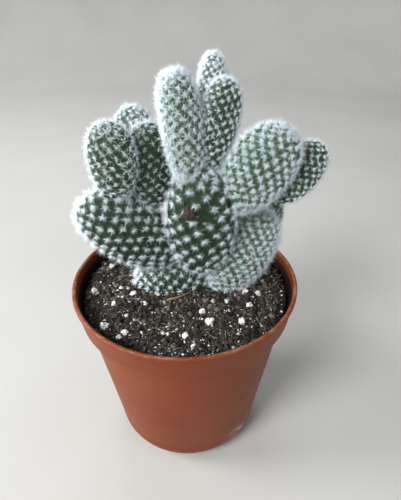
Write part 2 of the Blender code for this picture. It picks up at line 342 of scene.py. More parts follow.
def pot_plastic():
    """Satin terracotta plastic with streaks, dust, scuffs, and a soiled inner wall darkened with painted
    shade.
    """
    nodes = Nodes("pot_plastic")
    cloudy = nodes.noise(28, 2)
    streaks = nodes.noise(60, 4, place=nodes.stretched(1, 1, 0.12))
    base = nodes.ramp(cloudy, [(0.3, (0.156, 0.0295, 0.006)), (0.7, (0.188, 0.038, 0.009))])
    streaky = nodes.mix(nodes.scaled(streaks, 0.0, 0.25), base, (0.130, 0.0245, 0.0055))
    dust = nodes.ramp(nodes.noise(420, 5, 0.7), [(0.62, 0.0), (0.80, 0.06)])
    dusty = nodes.mix(dust, streaky, (0.56, 0.30, 0.21))
    scuff = nodes.math("MULTIPLY", nodes.attribute("tint"), nodes.ramp(
        nodes.noise(260, 6, 0.75, place=nodes.stretched(1, 1, 2.5)), [(0.46, 0.0), (0.58, 1.0)]))
    scuffed = nodes.mix(scuff, dusty, (0.62, 0.48, 0.42))
    patchy = nodes.scaled(nodes.noise(220, 5, 0.7), 1.6, 2.4)
    # painted shade and soil stain: the inner wall darkens to near black deeper down
    stain_and_shade = nodes.math("MULTIPLY", nodes.attribute("stain_and_shade"), patchy)
    nodes.colour(nodes.mix(stain_and_shade, scuffed, (0.012, 0.006, 0.004)))
    nodes.roughness(nodes.scaled(nodes.noise(90, 3), 0.40, 0.56))
    nodes.set(IOR=1.49, Specular_IOR_Level=0.22)
    nodes.bump((nodes.noise(1500, 2), 0.00002), (nodes.noise(140, 3), 0.00005))
    return nodes.material


# Linear colours
WET_PEAT = (0.012, 0.009, 0.007)
OLD_SKIN = ((0.004, 0.014, 0.005), (0.012, 0.034, 0.012), (0.030, 0.070, 0.028))  # dark, light, painted highlight on the swellings
YOUNG_SKIN = ((0.013, 0.036, 0.011), (0.034, 0.075, 0.027), (0.065, 0.125, 0.052))


def pad_skin(name, dark, light, ridge_highlight):
    """Waxy skin: mottled, with a painted highlight on the swelling under each tuft, darker in the furrows.
    """
    nodes = Nodes(name)
    mottle = nodes.noise(260, 4, 0.6)
    base = nodes.ramp(mottle, [(0.30, dark), (0.72, light)])
    # painted highlight: the swelling under each tuft, kept as the tint, is lightened towards the ridge
    # colour
    swelling = nodes.attribute("tint")
    highlighted = nodes.mix(nodes.scaled(swelling, 0.0, 0.75), base, ridge_highlight)
    specks = nodes.ramp(nodes.noise(1800, 2, 0.6), [(0.58, 0.0), (0.72, 0.35)])
    fleck = tuple(min(1, 1.9 * channel + 0.02) for channel in light)
    nodes.colour(nodes.mix(specks, highlighted, fleck))
    nodes.roughness(nodes.scaled(nodes.noise(700, 2), 0.42, 0.66))
    nodes.set(IOR=1.42, Subsurface_Weight=0.08, Subsurface_Radius=(0.6, 1.0, 0.4), Subsurface_Scale=0.0015)
    nodes.bump((nodes.noise(900, 3), 0.00008), (nodes.voronoi(2600), 0.00003))
    return nodes.material


def bristle_white(name, root, tip):
    """Bristles: a little duller where they leave the skin, glassy white at the tip."""
    nodes = Nodes(name)
    length = nodes.attribute("tint")
    base = nodes.ramp(length, [(0.0, root), (0.35, tip)])
    nodes.colour(nodes.mix(nodes.scaled(nodes.noise(500, 2), 0.0, 0.18), base, root))
    nodes.set(Roughness=0.42, IOR=1.5)
    return nodes.material


def peat():
    """The soil's own surface, under its crumbs."""
    nodes = Nodes("peat")
    grain = nodes.noise(900, 6, 0.7)
    patches = nodes.noise(120, 3)
    base = nodes.ramp(grain, [
        (0.32, (0.006, 0.005, 0.004)), (0.55, (0.026, 0.020, 0.016)), (0.8, (0.085, 0.068, 0.054)),
    ])
    nodes.colour(nodes.mix(nodes.scaled(patches, 0.0, 0.55), base, WET_PEAT))
    nodes.roughness(nodes.scaled(grain, 0.75, 1.0))
    nodes.set(Specular_IOR_Level=0.25)
    nodes.bump((nodes.noise(2600, 5, 0.7), 0.00025), (nodes.noise(700, 4), 0.0006))
    return nodes.material


def peat_crumbs():
    """Loose crumbs and fibres, each with its own brown from its tint."""
    nodes = Nodes("peat_crumbs")
    own = nodes.ramp(nodes.attribute("tint"), [
        (0.0, (0.010, 0.008, 0.006)), (0.35, (0.042, 0.033, 0.026)),
        (0.65, (0.11, 0.090, 0.072)), (1.0, (0.27, 0.225, 0.18)),
    ])
    nodes.colour(nodes.mix(nodes.scaled(nodes.noise(1600, 4), 0.0, 0.5), own, WET_PEAT))
    nodes.set(Roughness=0.85, Specular_IOR_Level=0.35)
    nodes.bump((nodes.noise(3000, 4, 0.7), 0.0002))
    return nodes.material


def perlite_white():
    """Chalky grains with a little soil on them, each with its own white from its tint."""
    nodes = Nodes("perlite_white")
    dirt = nodes.ramp(nodes.noise(700, 4, 0.6), [(0.45, 0.0), (0.75, 0.55)])
    base = nodes.ramp(nodes.attribute("tint"), [(0.0, (0.46, 0.44, 0.40)), (1.0, (0.84, 0.84, 0.82))])
    nodes.colour(nodes.mix(dirt, base, (0.30, 0.25, 0.19)))
    nodes.set(Roughness=0.85, Specular_IOR_Level=0.3)
    nodes.bump((nodes.voronoi(2200), 0.00025), (nodes.noise(4000, 4), 0.0001))
    return nodes.material


def dry_plant(name, dark, light, scale, stretch=(1, 1, 1)):
    """Dry plant matter: straw, roots, scars and the withered bud."""
    nodes = Nodes(name)
    fibre = nodes.noise(scale, 5, 0.65, 0.4, place=nodes.stretched(*stretch))
    nodes.colour(nodes.ramp(fibre, [(0.3, dark), (0.7, light)]))
    nodes.roughness(nodes.scaled(fibre, 0.65, 0.95))
    nodes.bump((fibre, 0.0002), (nodes.noise(scale * 4, 3), 0.0001))
    return nodes.material


def floor_paint():
    nodes = Nodes("floor_paint")
    nodes.colour(nodes.ramp(nodes.noise(9, 3), [(0.3, (0.40, 0.39, 0.37)), (0.7, (0.43, 0.42, 0.40))]))
    nodes.set(Roughness=0.8)
    return nodes.material


# ---- pot

def arc(centre, radius, start, end, count):
    """(radius, height) points on an arc, angles in degrees."""
    angles = [math.radians(start + (end - start) * i / count) for i in range(count + 1)]
    return [(centre[0] + radius * math.cos(a), centre[1] + radius * math.sin(a)) for a in angles]


def between(start, end, count):
    """Evenly spaced points after the start, up to the end."""
    return [tuple(a + (b - a) * step / count for a, b in zip(start, end)) for step in range(1, count + 1)]


def pot_profile(rim_r, height):
    """The pot's section, from the middle of its floor up the inner wall and down the outer one."""
    collar_foot = height - COLLAR_HEIGHT
    share = EDGE_ROUND / collar_foot
    edge_r = POT_BOTTOM_R + (POT_BODY_TOP_R - POT_BOTTOM_R) * share
    inner_r = EDGE_ROUND - POT_WALL
    lip_r = LIP_WIDTH / 2
    inside = [(0, FLOOR_TOP), (CENTRE_DISC_R, FLOOR_TOP)]
    inside += arc((edge_r - EDGE_ROUND, FLOOR_TOP + inner_r), inner_r, -90, -4, 12)
    body_top = (POT_BODY_TOP_R - POT_WALL - 0.4 * MM, collar_foot - 3 * MM)
    inside += [body_top, (COLLAR_BOTTOM_R - POT_WALL, collar_foot + 1.5 * MM)]
    inside += between(inside[-1], (rim_r - LIP_WIDTH, height - LIP_HEIGHT), 8)
    inside += arc((rim_r - lip_r, height - lip_r), lip_r, 180, 90, 6)
    outside = arc((rim_r - lip_r, height - lip_r), lip_r, 90, 0, 6)[1:]
    lip_foot = height - LIP_HEIGHT
    outside += [(rim_r - 0.05 * MM, lip_foot), (rim_r - 0.6 * MM, lip_foot - 0.35 * MM)]
    outside += [(rim_r - 0.75 * MM, lip_foot - 0.8 * MM)]
    outside += arc((COLLAR_BOTTOM_R - 0.8 * MM, collar_foot + 0.8 * MM), 0.8 * MM, 0, -75, 5)
    outside += [(POT_BODY_TOP_R + 0.7 * MM, collar_foot - 1.2 * MM)]
    outside += [(POT_BODY_TOP_R, collar_foot - 3.4 * MM)]
    edge = arc((edge_r - EDGE_ROUND, EDGE_ROUND), EDGE_ROUND, 4, -90, 14)
    outside += between(outside[-1], edge[0], 24)
    outside += edge[1:]
    outside += [(FOOT_RING_R + 0.4 * MM, 0), (FOOT_RING_R, 0.2 * MM), (FOOT_RING_R - 1 * MM, FLOOR_LIFT)]
    outside += [(CENTRE_DISC_R + 1 * MM, FLOOR_LIFT), (CENTRE_DISC_R, 0), (0, 0)]
    return inside + outside


def arrays_of(bm):
    """The points and faces of a bmesh."""
    points = np.array([vert.co for vert in bm.verts])
    faces = np.array([[vert.index for vert in face.verts] for face in bm.faces])
    bm.free()
    return points, faces


def built(bm, name):
    """The mesh that a bmesh holds."""
    mesh = bpy.data.meshes.new(name)
    bm.to_mesh(mesh)
    bm.free()
    return mesh


def turned(profile, steps):
    """A closed turned mesh from (radius, height) points that start and end on the axis."""
    rings = len(profile) - 2
    angles = np.linspace(0, math.tau, steps, endpoint=False)
    points = [(0, 0, profile[0][1])]
    for radius, height in profile[1:-1]:
        points += [(radius * math.cos(a), radius * math.sin(a), height) for a in angles]
    points.append((0, 0, profile[-1][1]))
    bm = bmesh.new()
    verts = [bm.verts.new(point) for point in points]
    for step in range(steps):
        after = (step + 1) % steps
        bm.faces.new((verts[0], verts[1 + step], verts[1 + after]))
        for ring in range(rings - 1):
            a, b = 1 + ring * steps, 1 + (ring + 1) * steps
            bm.faces.new((verts[a + step], verts[b + step], verts[b + after], verts[a + after]))
        last = 1 + (rings - 1) * steps
        bm.faces.new((verts[last + step], verts[-1], verts[last + after]))
    bmesh.ops.recalc_face_normals(bm, faces=bm.faces)
    return built(bm, "pot_body")


def drill_mesh():
    """The cylinders that cut the drain holes."""
    bm = bmesh.new()
    for i in range(DRAIN_HOLES):
        angle = math.tau * i / DRAIN_HOLES
        x, y = DRAIN_CIRCLE_R * math.cos(angle), DRAIN_CIRCLE_R * math.sin(angle)
        bmesh.ops.create_cone(bm, cap_ends=True, segments=40, radius1=DRAIN_HOLE_R, radius2=DRAIN_HOLE_R,
                              depth=4 * FLOOR_TOP, matrix=Matrix.Translation((x, y, FLOOR_TOP / 2)))
    return built(bm, "drills")


def bell(values, centre, spread):
    """1 at the centre, falling off to 0 on both sides."""
    return np.exp(-((values - centre) / spread) ** 2)


def wear_and_shade_pot(mesh, height):
    """Keeps the scuffs as a tint, and the inner wall's soil stain and painted shade, darker down from below
    the rim, as a second attribute.
    """
    points = mesh_points(mesh)
    radii = np.hypot(points[:, 0], points[:, 1])
    angles = np.degrees(np.arctan2(points[:, 1], points[:, 0]))
    low_edge = bell(points[:, 2], SCUFF_HEIGHT, SCUFF_SPREAD)
    rim = RIM_WEAR * bell(points[:, 2], height, RIM_WEAR_SPREAD)
    facing = bell(angles, SCUFF_ANGLE, SCUFF_ANGLE_SPREAD)
    set_tint(mesh, np.where(radii > DRAIN_CIRCLE_R + DRAIN_HOLE_R, low_edge * facing + rim, 0))
    inward = (mesh_normals(mesh)[:, :2] * points[:, :2]).sum(axis=1) < -0.3 * radii
    # the inner wall darkens down from below the rim: a soil stain with painted shade in it
    depth = np.clip((height - STAIN_AND_SHADE_START - points[:, 2]) / STAIN_AND_SHADE_FADE, 0, 1)
    set_tint(mesh, np.where(inward & (points[:, 2] > FLOOR_TOP), STAIN_AND_SHADE * depth, 0), "stain_and_shade")


def make_pot(finish):
    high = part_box("pot")[1]
    mesh = turned(pot_profile(high.x, high.z), POT_STEPS)
    drills = link(bpy.data.objects.new("drills", drill_mesh()))
    made = modified_mesh(mesh, "pot_blank", ("BOOLEAN", {"operation": "DIFFERENCE", "object": drills}))
    bpy.data.objects.remove(drills)
    made.shade_smooth()
    made.set_sharp_from_angle(angle=math.radians(38))
    wear_and_shade_pot(made, high.z)
    return add_piece("nursery_pot", made, finish, ["pot"])


# ---- pads

def skin_of(node):
    """The pad's solid as a fine, even, smooth mesh, swollen to meet its neighbours."""
    mesh = modified_mesh(
        node.data.copy(), node.name + "_skin",
        ("REMESH", {"mode": "VOXEL", "voxel_size": SKIN_VOXEL, "use_smooth_shade": True}),
        ("SMOOTH", {"factor": 0.5, "iterations": 8}),
    )
    points = mesh_points(mesh) + mesh_normals(mesh) * PLUMP.get(node.name, SKIN_SWELL)
    move_points(mesh, points)
    return mesh


def area_centre(mesh):
    """Areas and centres of the faces, and the centre of the whole surface."""
    areas = np.zeros(len(mesh.polygons), np.float32)
    mesh.polygons.foreach_get("area", areas)
    centres = vectors_of(mesh.polygons, "center")
    return areas, centres, np.average(centres, axis=0, weights=areas)


def pad_axes(name, skins):
    """Centre, and unit vectors across the pad, out of its flat side and along its growth."""
    areas, centres, middle = area_centre(skins[name])
    spread = (centres - middle).T @ ((centres - middle) * areas[:, None])
    vectors = np.linalg.eigh(spread)[1]
    through = vectors[:, 0]
    if PARENTS[name] is None:
        along = np.array((0, 0, 1.0))
        along -= through * (along @ through)
        along /= np.linalg.norm(along)
    else:
        along = vectors[:, 2]
        parent = area_centre(skins[PARENTS[name]])[2]
        along = along * np.sign(along @ (middle - parent))
    if through[1] > 0:
        through = -through
    across = np.cross(along, through)
    if across[0] < 0:
        across = -across
    return middle, across, through, along


def outline_sections(tree, axes, skin):
    """Closed outlines of the skin from foot to tip, as SECTIONS x SECTION_POINTS x 3."""
    middle, across, through, along = axes
    offsets = mesh_points(skin) - middle
    heights = offsets @ along
    turns = np.linspace(*SECTION_SPAN, SECTIONS) * math.pi
    levels = heights.min() + np.ptp(heights) * (1 - np.cos(turns)) / 2
    rings = np.zeros((SECTIONS, SECTION_POINTS, 3))
    for row, level in enumerate(levels):
        slab = offsets[abs(heights - level) < 2 * SKIN_VOXEL]
        offset = across * (slab @ across).mean() + through * (slab @ through).mean()
        centre = middle + offset + along * level
        for column in range(SECTION_POINTS):
            angle = math.tau * column / SECTION_POINTS
            outward = across * math.cos(angle) + through * math.sin(angle)
            hit = tree.ray_cast(Vector(centre + outward * FAR), Vector(-outward), 2 * FAR)[0]
            missed = hit is None or (np.array(hit) - centre) @ outward < 0
            rings[row, column] = centre if missed else hit
    return rings


def spiral_lattice(rings, spacing_middle, spacing_tip):
    """Points in even spirals over the outlines, as areoles grow: a golden turn from each to the next."""
    closed = np.concatenate([rings, rings[:, :1]], axis=1)
    steps = np.linalg.norm(np.diff(closed, axis=1), axis=2)
    angles = math.tau * (np.arange(SECTION_POINTS) + 0.5) / SECTION_POINTS
    steps = steps * (1 + EDGE_CROWDING * np.cos(angles) ** 6)
    lengths = np.concatenate([np.zeros((len(rings), 1)), np.cumsum(steps, axis=1)], axis=1)
    around = lengths[:, -1]
    slant = np.linalg.norm(np.diff(rings, axis=0), axis=2).mean(axis=1)
    bands = slant * (around[1:] + around[:-1]) / 2
    shares = (np.arange(len(bands)) + 0.5) / len(bands)
    spacing = spacing_middle + (spacing_tip - spacing_middle) * abs(shares * 2 - 1) ** 2
    spacing *= 1 - TIP_CROWDING * np.clip((shares - TIP_START) / (1 - TIP_START), 0, 1)
    cells = bands / (spacing ** 2 * math.sqrt(3) / 2)
    filled = np.concatenate([[0], np.cumsum(cells)])
    points = []
    for index in range(int(filled[-1])):
        row = np.interp(index + 0.5, filled, np.arange(len(filled)))
        share = (index * GOLDEN_SHARE) % 1
        low = min(int(row), len(rings) - 2)
        pair = []
        for ring in (low, low + 1):
            total = lengths[ring, -1]
            place = share * total
            pair.append([np.interp(place, lengths[ring], closed[ring, :, axis]) for axis in range(3)])
        below, above = np.array(pair)
        points.append(below + (row - low) * (above - below))
    return points


def areoles_of(name, skin, tree, axes, others, rng):
    """Places and normals of the tufts on a pad, without those inside another pad or the soil."""
    spacing_middle, spacing_tip = (value * MM for value in TUFTS[name][:2])
    rings = outline_sections(tree, axes, skin)
    places, normals = [], []
    for point in spiral_lattice(rings, spacing_middle, spacing_tip):
        point = point + rng.normal(0, JITTER * spacing_middle, 3)
        place, normal, _, distance = tree.find_nearest(Vector(point))
        if distance > LATTICE_SLACK or place.z < soil_height(place.x, place.y) - SOIL_CLEARANCE:
            continue
        if any(inside(other, place, PAD_CLEARANCE) for other in others):
            continue
        if bald(name, place, axes):
            continue
        places.append(place)
        normals.append(normal)
    return np.array(places), np.array(normals)


def inside(tree, place, margin):
    """Whether a point is inside a closed surface, or closer than the margin to it."""
    nearest, normal, _, _ = tree.find_nearest(place)
    return (place - nearest).dot(normal) < margin


# Bare spots: pad, place across and along from the middle (mm), radius (mm)
BARE_SPOTS = (
    ("pad_right", 6.5, 12.0, 1.7),
    ("pad_centre", 0.5, 8.0, 2.6),
)


def bald(name, place, axes):
    """Whether a place on a pad's front is in one of its bare spots."""
    middle, across, through, along = axes
    offset = np.array(place) - middle
    for pad, right, up, radius in BARE_SPOTS:
        if pad == name and offset @ through > 0:
            if math.hypot(offset @ across - right * MM, offset @ along - up * MM) < radius * MM:
                return True
    return False


def swell_under_tufts(skin, places, spacing):
    """Raises a low swelling under each tuft and adds slight wrinkles; keeps the swelling as a tint, which
    the skin paints as a highlight.
    """
    points, normals = mesh_points(skin), mesh_normals(skin)
    width = SWELLING_WIDTH * spacing
    swelling = np.zeros(len(points))
    batch = 4000  # keeps the table of distances small
    for start in range(0, len(points), batch):
        part = points[start:start + batch]
        gaps = np.linalg.norm(part[:, None] - places[None], axis=2)
        swelling[start:start + batch] = bell(gaps.min(axis=1), 0, width)
    wrinkles = np.array([noise.noise(Vector(point) * WRINKLE_FREQUENCY) for point in points])
    lift = swelling * SWELLING_HEIGHT * spacing + wrinkles * WRINKLE_HEIGHT
    points += normals * lift[:, None]
    move_points(skin, points)
    set_tint(skin, swelling)


def across_directions(normals):
    """Two unit vectors square to each normal."""
    helper = np.where(np.abs(normals[:, 2:3]) < 0.9, [[0, 0, 1.0]], [[1.0, 0, 0]])
    first = np.cross(helper, normals)
    first /= np.linalg.norm(first, axis=1)[:, None]
    return first, np.cross(normals, first)


def tuft_lengths(normals, axes, length, edge_vigour, rng):
    """The bristle length of each tuft, longer at the pad's edges, tip and lower end."""
    _, across, _, along = axes
    edge = np.clip(np.hypot(normals @ across, np.clip(normals @ along, 0, 1)), 0, 1)
    low = np.clip(-(normals @ along), 0, 1)
    vigour = 1 + edge_vigour * edge ** 2 + max(FOOT_VIGOUR, edge_vigour) * low
    return length * rng.uniform(*TUFT_VIGOUR, len(normals)) * vigour


def either(choice, first, second, rng):
    """A draw from the first range where the choice is true, and from the second elsewhere."""
    total = len(choice)
    return np.where(choice, rng.uniform(*first, total), rng.uniform(*second, total))


def sideways(normals, turn):
    """Unit vectors square to the normals, turned round them by an angle each."""
    first, second = across_directions(normals)
    return first * np.cos(turn)[:, None] + second * np.sin(turn)[:, None]


def bristles(places, normals, axes, style, edge_vigour, rng):
    """Every bristle of a pad as a slender closed pyramid, and the felt cushions, in one mesh."""
    _, _, length, count, half_angle = style
    total = len(places) * count
    roots, up = np.repeat(places, count, axis=0), np.repeat(normals, count, axis=0)
    lengths = np.repeat(tuft_lengths(normals, axes, length * MM, edge_vigour, rng), count)
    spine = rng.uniform(0, 1, total) < SPINE_SHARE
    tilt = math.radians(half_angle) * either(spine, SPINE_TILT, FINE_TILT, rng)
    stray = rng.uniform(0, 1, total) < STRAY_SHARE
    tilt = np.where(stray, rng.uniform(*STRAY_TILT, total), tilt)
    turn, root_turn = rng.uniform(0, math.tau, total), rng.uniform(0, math.tau, total)
    lean = sideways(up, turn) * np.sin(tilt)[:, None]
    heading = up * np.cos(tilt)[:, None] + lean + axes[3] * GROWTH_LEAN
    heading /= np.linalg.norm(heading, axis=1)[:, None]
    thick = np.where(spine, SPINE_R, BRISTLE_R)[:, None]
    reach = lengths * either(spine, SPINE_REACH, FINE_REACH, rng)
    offset = AREOLE_R * np.sqrt(rng.uniform(0, 1, total))
    roots = roots + sideways(up, root_turn) * offset[:, None] - up * ROOT_DEPTH
    corners = [roots + thick * sideways(heading, np.full(total, math.tau * i / 3)) for i in range(3)]
    tips = roots + heading * reach[:, None]
    points = np.stack([*corners, tips], axis=1).reshape(-1, 3)
    start = 4 * np.arange(total)[:, None, None]
    faces = (start + np.array([(0, 1, 3), (1, 2, 3), (2, 0, 3), (0, 2, 1)])[None]).reshape(-1, 3)
    felt_points, felt_faces = felt_cushions(places, normals)
    all_points = np.concatenate([points, felt_points])
    mesh = mesh_from_arrays("glochids", all_points, np.concatenate([faces, felt_faces + len(points)]))
    root_tint, tip_tint, felt_tint = 0.1, 1.0, 0.6
    bristle_tints = np.tile((root_tint, root_tint, root_tint, tip_tint), total)
    set_tint(mesh, np.concatenate([bristle_tints, np.full(len(felt_points), felt_tint)]))
    return mesh


def felt_cushions(places, normals):
    """A small woolly dome at each place, as (points, faces)."""
    bm = bmesh.new()
    bmesh.ops.create_icosphere(bm, subdivisions=1, radius=1)
    shape, pattern = arrays_of(bm)
    radius, height = FELT_SIZE
    first, second = across_directions(normals)
    flat = first[:, None] * shape[None, :, :1] + second[:, None] * shape[None, :, 1:2]
    points = places[:, None] + radius * flat
    points += height * normals[:, None] * shape[None, :, 2:]
    start = len(shape) * np.arange(len(places))[:, None, None]
    return points.reshape(-1, 3), (start + pattern[None]).reshape(-1, 3)


def make_pads(finishes):
    """Each pad's skin and its bristles; returns the skins and their axes."""
    rng = np.random.default_rng(SEED)
    skins = {name: skin_of(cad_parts[name]) for name in PARENTS}
    trees = {name: tree_of(skin) for name, skin in skins.items()}
    axes = {name: pad_axes(name, skins) for name in PARENTS}
    for name, skin in skins.items():
        others = [tree for other, tree in trees.items() if other != name]
        places, normals = areoles_of(name, skin, trees[name], axes[name], others, rng)
        swell_under_tufts(skin, places, TUFTS[name][0] * MM)
        young = name in YOUNG_PADS
        slot = "young_pad_skin" if young else "old_pad_skin"
        add_piece(name.replace("pad_", "flesh_"), skin, finishes[slot], [name])
        edge_vigour = LONG_EDGES.get(name, EDGE_VIGOUR)
        mesh = bristles(places, normals, axes[name], TUFTS[name], edge_vigour, rng)
        add_piece(name.replace("pad_", "glochids_"), mesh, finishes["bristles"])
    return skins, axes


def tree_of(mesh):
    points = mesh_points(mesh)
    return BVHTree.FromPolygons([tuple(p) for p in points], [tuple(f.vertices) for f in mesh.polygons])


# ---- soil

SOIL_TOP_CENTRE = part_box("soil")[1].z
RIM_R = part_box("pot")[1].x
SOIL_DROP = 2.0 * MM  # from the middle to the wall
SOIL_R = 48.0 * MM
SOIL_STEP = 0.6 * MM

# Loose soil over the solid, in mm
LUMPS = ((100, 2.4), (330, 1.2), (900, 0.5))  # frequency (per metre) and height
LUMP_SEED = 0.013
LOOSE_HEIGHT = 1.7
LEAST_HEIGHT = 0.3
EDGE_START = 0.90  # share of the soil's radius where it starts to sink
EDGE_SINK = 1.3
HOLLOW_PLACE = (-6, -22)  # in front of the plant
HOLLOW_SIZE = (13, 6)
HOLLOW_DEPTH = 3.0

# Grains of each layer: number, least and greatest size (mm), fineness
CRUMB_COUNTS = ((9000, 0.4, 1.2, 0), (2100, 1.0, 2.6, 1))
SPECK_COUNTS = ((1300, 0.35, 0.9, 0), (300, 0.8, 1.5, 1), (26, 1.5, 2.3, 2))
FIBRES = 320
FIBRE_LENGTH = (1.5, 6.0)  # mm
FIBRE_THICKNESS = (0.07, 0.20)


def soil_level(x, y):
    """The even top of the soil's solid."""
    return SOIL_TOP_CENTRE - SOIL_DROP * (math.hypot(x, y) / RIM_R) ** 2


def soil_height(x, y):
    """The lumpy top of the loose soil."""
    place = Vector((x, y, LUMP_SEED))
    lumps = sum(noise.noise(place * frequency) * height for frequency, height in LUMPS)
    across = (x / MM - HOLLOW_PLACE[0]) / HOLLOW_SIZE[0]
    ahead = (y / MM - HOLLOW_PLACE[1]) / HOLLOW_SIZE[1]
    hollow = HOLLOW_DEPTH * math.exp(-across ** 2 - ahead ** 2)
    edge = math.hypot(x, y) / SOIL_R
    sunken = EDGE_SINK * max(0.0, edge - EDGE_START) / (1 - EDGE_START)
    return soil_level(x, y) + max(LOOSE_HEIGHT + lumps - hollow - sunken, LEAST_HEIGHT) * MM


def make_soil_top(finish, trees):
    """A lumpy closed layer on the solid soil, open round the pads that stand in it."""
    bm = bmesh.new()
    count = int(SOIL_R / SOIL_STEP)
    grid = {}
    for i in range(-count, count + 1):
        for j in range(-count, count + 1):
            x, y = i * SOIL_STEP, j * SOIL_STEP
            if math.hypot(x, y) > SOIL_R:
                continue
            place = Vector((x, y, soil_level(x, y) + 0.5 * MM))
            if any(inside(tree, place, 0.2 * MM) for tree in trees):
                continue
            grid[i, j] = bm.verts.new((x, y, soil_height(x, y)))
    for i, j in grid:
        corners = [grid.get(key) for key in ((i, j), (i + 1, j), (i + 1, j + 1), (i, j + 1))]
        if None not in corners:
            bm.faces.new(corners)
    loose = [vert for vert in bm.verts if not vert.link_faces]
    bmesh.ops.delete(bm, geom=loose, context="VERTS")
    top = list(bm.faces)
    under = bmesh.ops.extrude_face_region(bm, geom=top, use_keep_orig=True)
    for vert in (item for item in under["geom"] if isinstance(item, bmesh.types.BMVert)):
        vert.co.z = soil_level(vert.co.x, vert.co.y) + 0.05 * MM
    bmesh.ops.recalc_face_normals(bm, faces=bm.faces)
    mesh = built(bm, "soil_top")
    mesh.shade_smooth()
    return add_piece("soil_top", mesh, finish)


def grain_shapes(fineness, rng, count=8):
    """A few irregular closed grains of unit size, as (points, faces)."""
    shapes = []
    for _ in range(count):
        bm = bmesh.new()
        bmesh.ops.create_icosphere(bm, subdivisions=fineness + 1, radius=0.5)
        seed = Vector(rng.uniform(-50, 50, 3))
        for vert in bm.verts:
            vert.co *= 1 + 0.75 * noise.noise(vert.co * 3.2 + seed) + 0.35 * noise.noise(vert.co * 8 + seed)
        shapes.append(arrays_of(bm))
    return shapes


def random_turns(count, rng):
    """Random rotation matrices."""
    quaternions = rng.normal(size=(count, 4))
    quaternions /= np.linalg.norm(quaternions, axis=1)[:, None]
    w, x, y, z = quaternions.T
    return np.stack([
        np.stack([1 - 2 * (y * y + z * z), 2 * (x * y - z * w), 2 * (x * z + y * w)], axis=1),
        np.stack([2 * (x * y + z * w), 1 - 2 * (x * x + z * z), 2 * (y * z - x * w)], axis=1),
        np.stack([2 * (x * z - y * w), 2 * (y * z + x * w), 1 - 2 * (x * x + y * y)], axis=1),
    ], axis=1)


def merged(name, shapes):
    """One mesh from several (points, faces)."""
    starts = np.cumsum([0] + [len(points) for points, _ in shapes[:-1]])
    faces = [faces + start for (_, faces), start in zip(shapes, starts)]
    return mesh_from_arrays(name, np.concatenate([points for points, _ in shapes]), np.concatenate(faces))


def scatter(name, layers, trees, finish, rng, tint, patchiness=0.0, sink=0.25, flatten=0.75):
    """Many grains over the soil in one mesh, larger ones finer, each with a tint of its own."""
    grains, tints = [], []
    for number, least, greatest, fineness in layers:
        shapes = grain_shapes(fineness, rng)
        turns = random_turns(number, rng)
        for index in range(number):
            radius = (SOIL_R - 0.5 * MM) * math.sqrt(rng.uniform(0, 1))
            angle = rng.uniform(0, math.tau)
            size = MM * least * (greatest / least) ** rng.uniform(0, 1)
            stretch = rng.uniform(0.40, 1.35, 3)
            x, y = radius * math.cos(angle), radius * math.sin(angle)
            shade = min(max(tint(rng) + patchiness * noise.noise(Vector((x, y, 0)) * 95), 0), 1)
            centre = Vector((x, y, soil_height(x, y) + size * (0.5 - sink) * flatten))
            if any(inside(tree, centre, size * 0.3) for tree in trees):
                continue
            points, faces = shapes[index % len(shapes)]
            placed = (points * stretch) @ turns[index].T * size
            placed[:, 2] *= flatten
            grains.append((placed + np.array(centre), faces))
            tints.append(np.full(len(points), shade))
    mesh = merged(name, grains)
    set_tint(mesh, np.concatenate(tints))
    return add_piece(name, mesh, finish)


def make_fibres(trees, finish, rng):
    """Short dry fibres and root bits lying over the crumbs, as thin bent bars."""
    fibres, tints = [], []
    for _ in range(FIBRES):
        radius = (SOIL_R - 3 * MM) * math.sqrt(rng.uniform(0, 1))
        angle, turn = rng.uniform(0, math.tau, 2)
        length = rng.uniform(*FIBRE_LENGTH) * MM
        thick = rng.uniform(*FIBRE_THICKNESS) * MM
        bend = rng.uniform(-0.6, 0.6)
        shade = rng.uniform(0.55, 1.0)
        heading = np.array((math.cos(turn), math.sin(turn)))
        rings = []
        for share in np.linspace(-0.5, 0.5, 6):
            side = np.array((-heading[1], heading[0])) * bend * (0.25 - share * share) * length
            x, y = np.array((math.cos(angle), math.sin(angle))) * radius + heading * share * length + side
            rings.append((x, y, soil_height(x, y) + 0.35 * MM))
        rings = np.array(rings)
        rings[:, 2] = 0.5 * rings[:, 2] + 0.5 * rings[:, 2].max()
        if any(inside(tree, Vector(ring), 0.3 * MM) for tree in trees for ring in rings):
            continue
        if np.hypot(rings[:, 0], rings[:, 1]).max() > SOIL_R:
            continue
        points, faces = tube(rings, np.full(len(rings), thick), 5)
        fibres.append((points, faces))
        tints.append(np.full(len(points), shade))
    mesh = merged("soil_fibres", fibres)
    set_tint(mesh, np.concatenate(tints))
    return add_piece("soil_fibres", mesh, finish)


def tube(line, radii, sides):
    """A closed tube of triangles along a line, as (points, faces)."""
    line = np.asarray(line, float)
    ahead = np.gradient(line, axis=0)
    ahead /= np.linalg.norm(ahead, axis=1)[:, None]
    first, second = across_directions(ahead)
    points = [line[0]]
    for row in range(len(line)):
        for side in range(sides):
            angle = math.tau * side / sides
            outward = first[row] * math.cos(angle) + second[row] * math.sin(angle)
            points.append(line[row] + radii[row] * outward)
    points.append(line[-1])
    faces = []
    for side in range(sides):
        after = (side + 1) % sides
        faces.append((0, 1 + after, 1 + side))
        for row in range(len(line) - 1):
            a, b = 1 + row * sides, 1 + (row + 1) * sides
            faces.append((a + side, a + after, b + after))
            faces.append((a + side, b + after, b + side))
        last = 1 + (len(line) - 1) * sides
        faces.append((last + side, last + after, len(points) - 1))
    return np.array(points), np.array(faces)


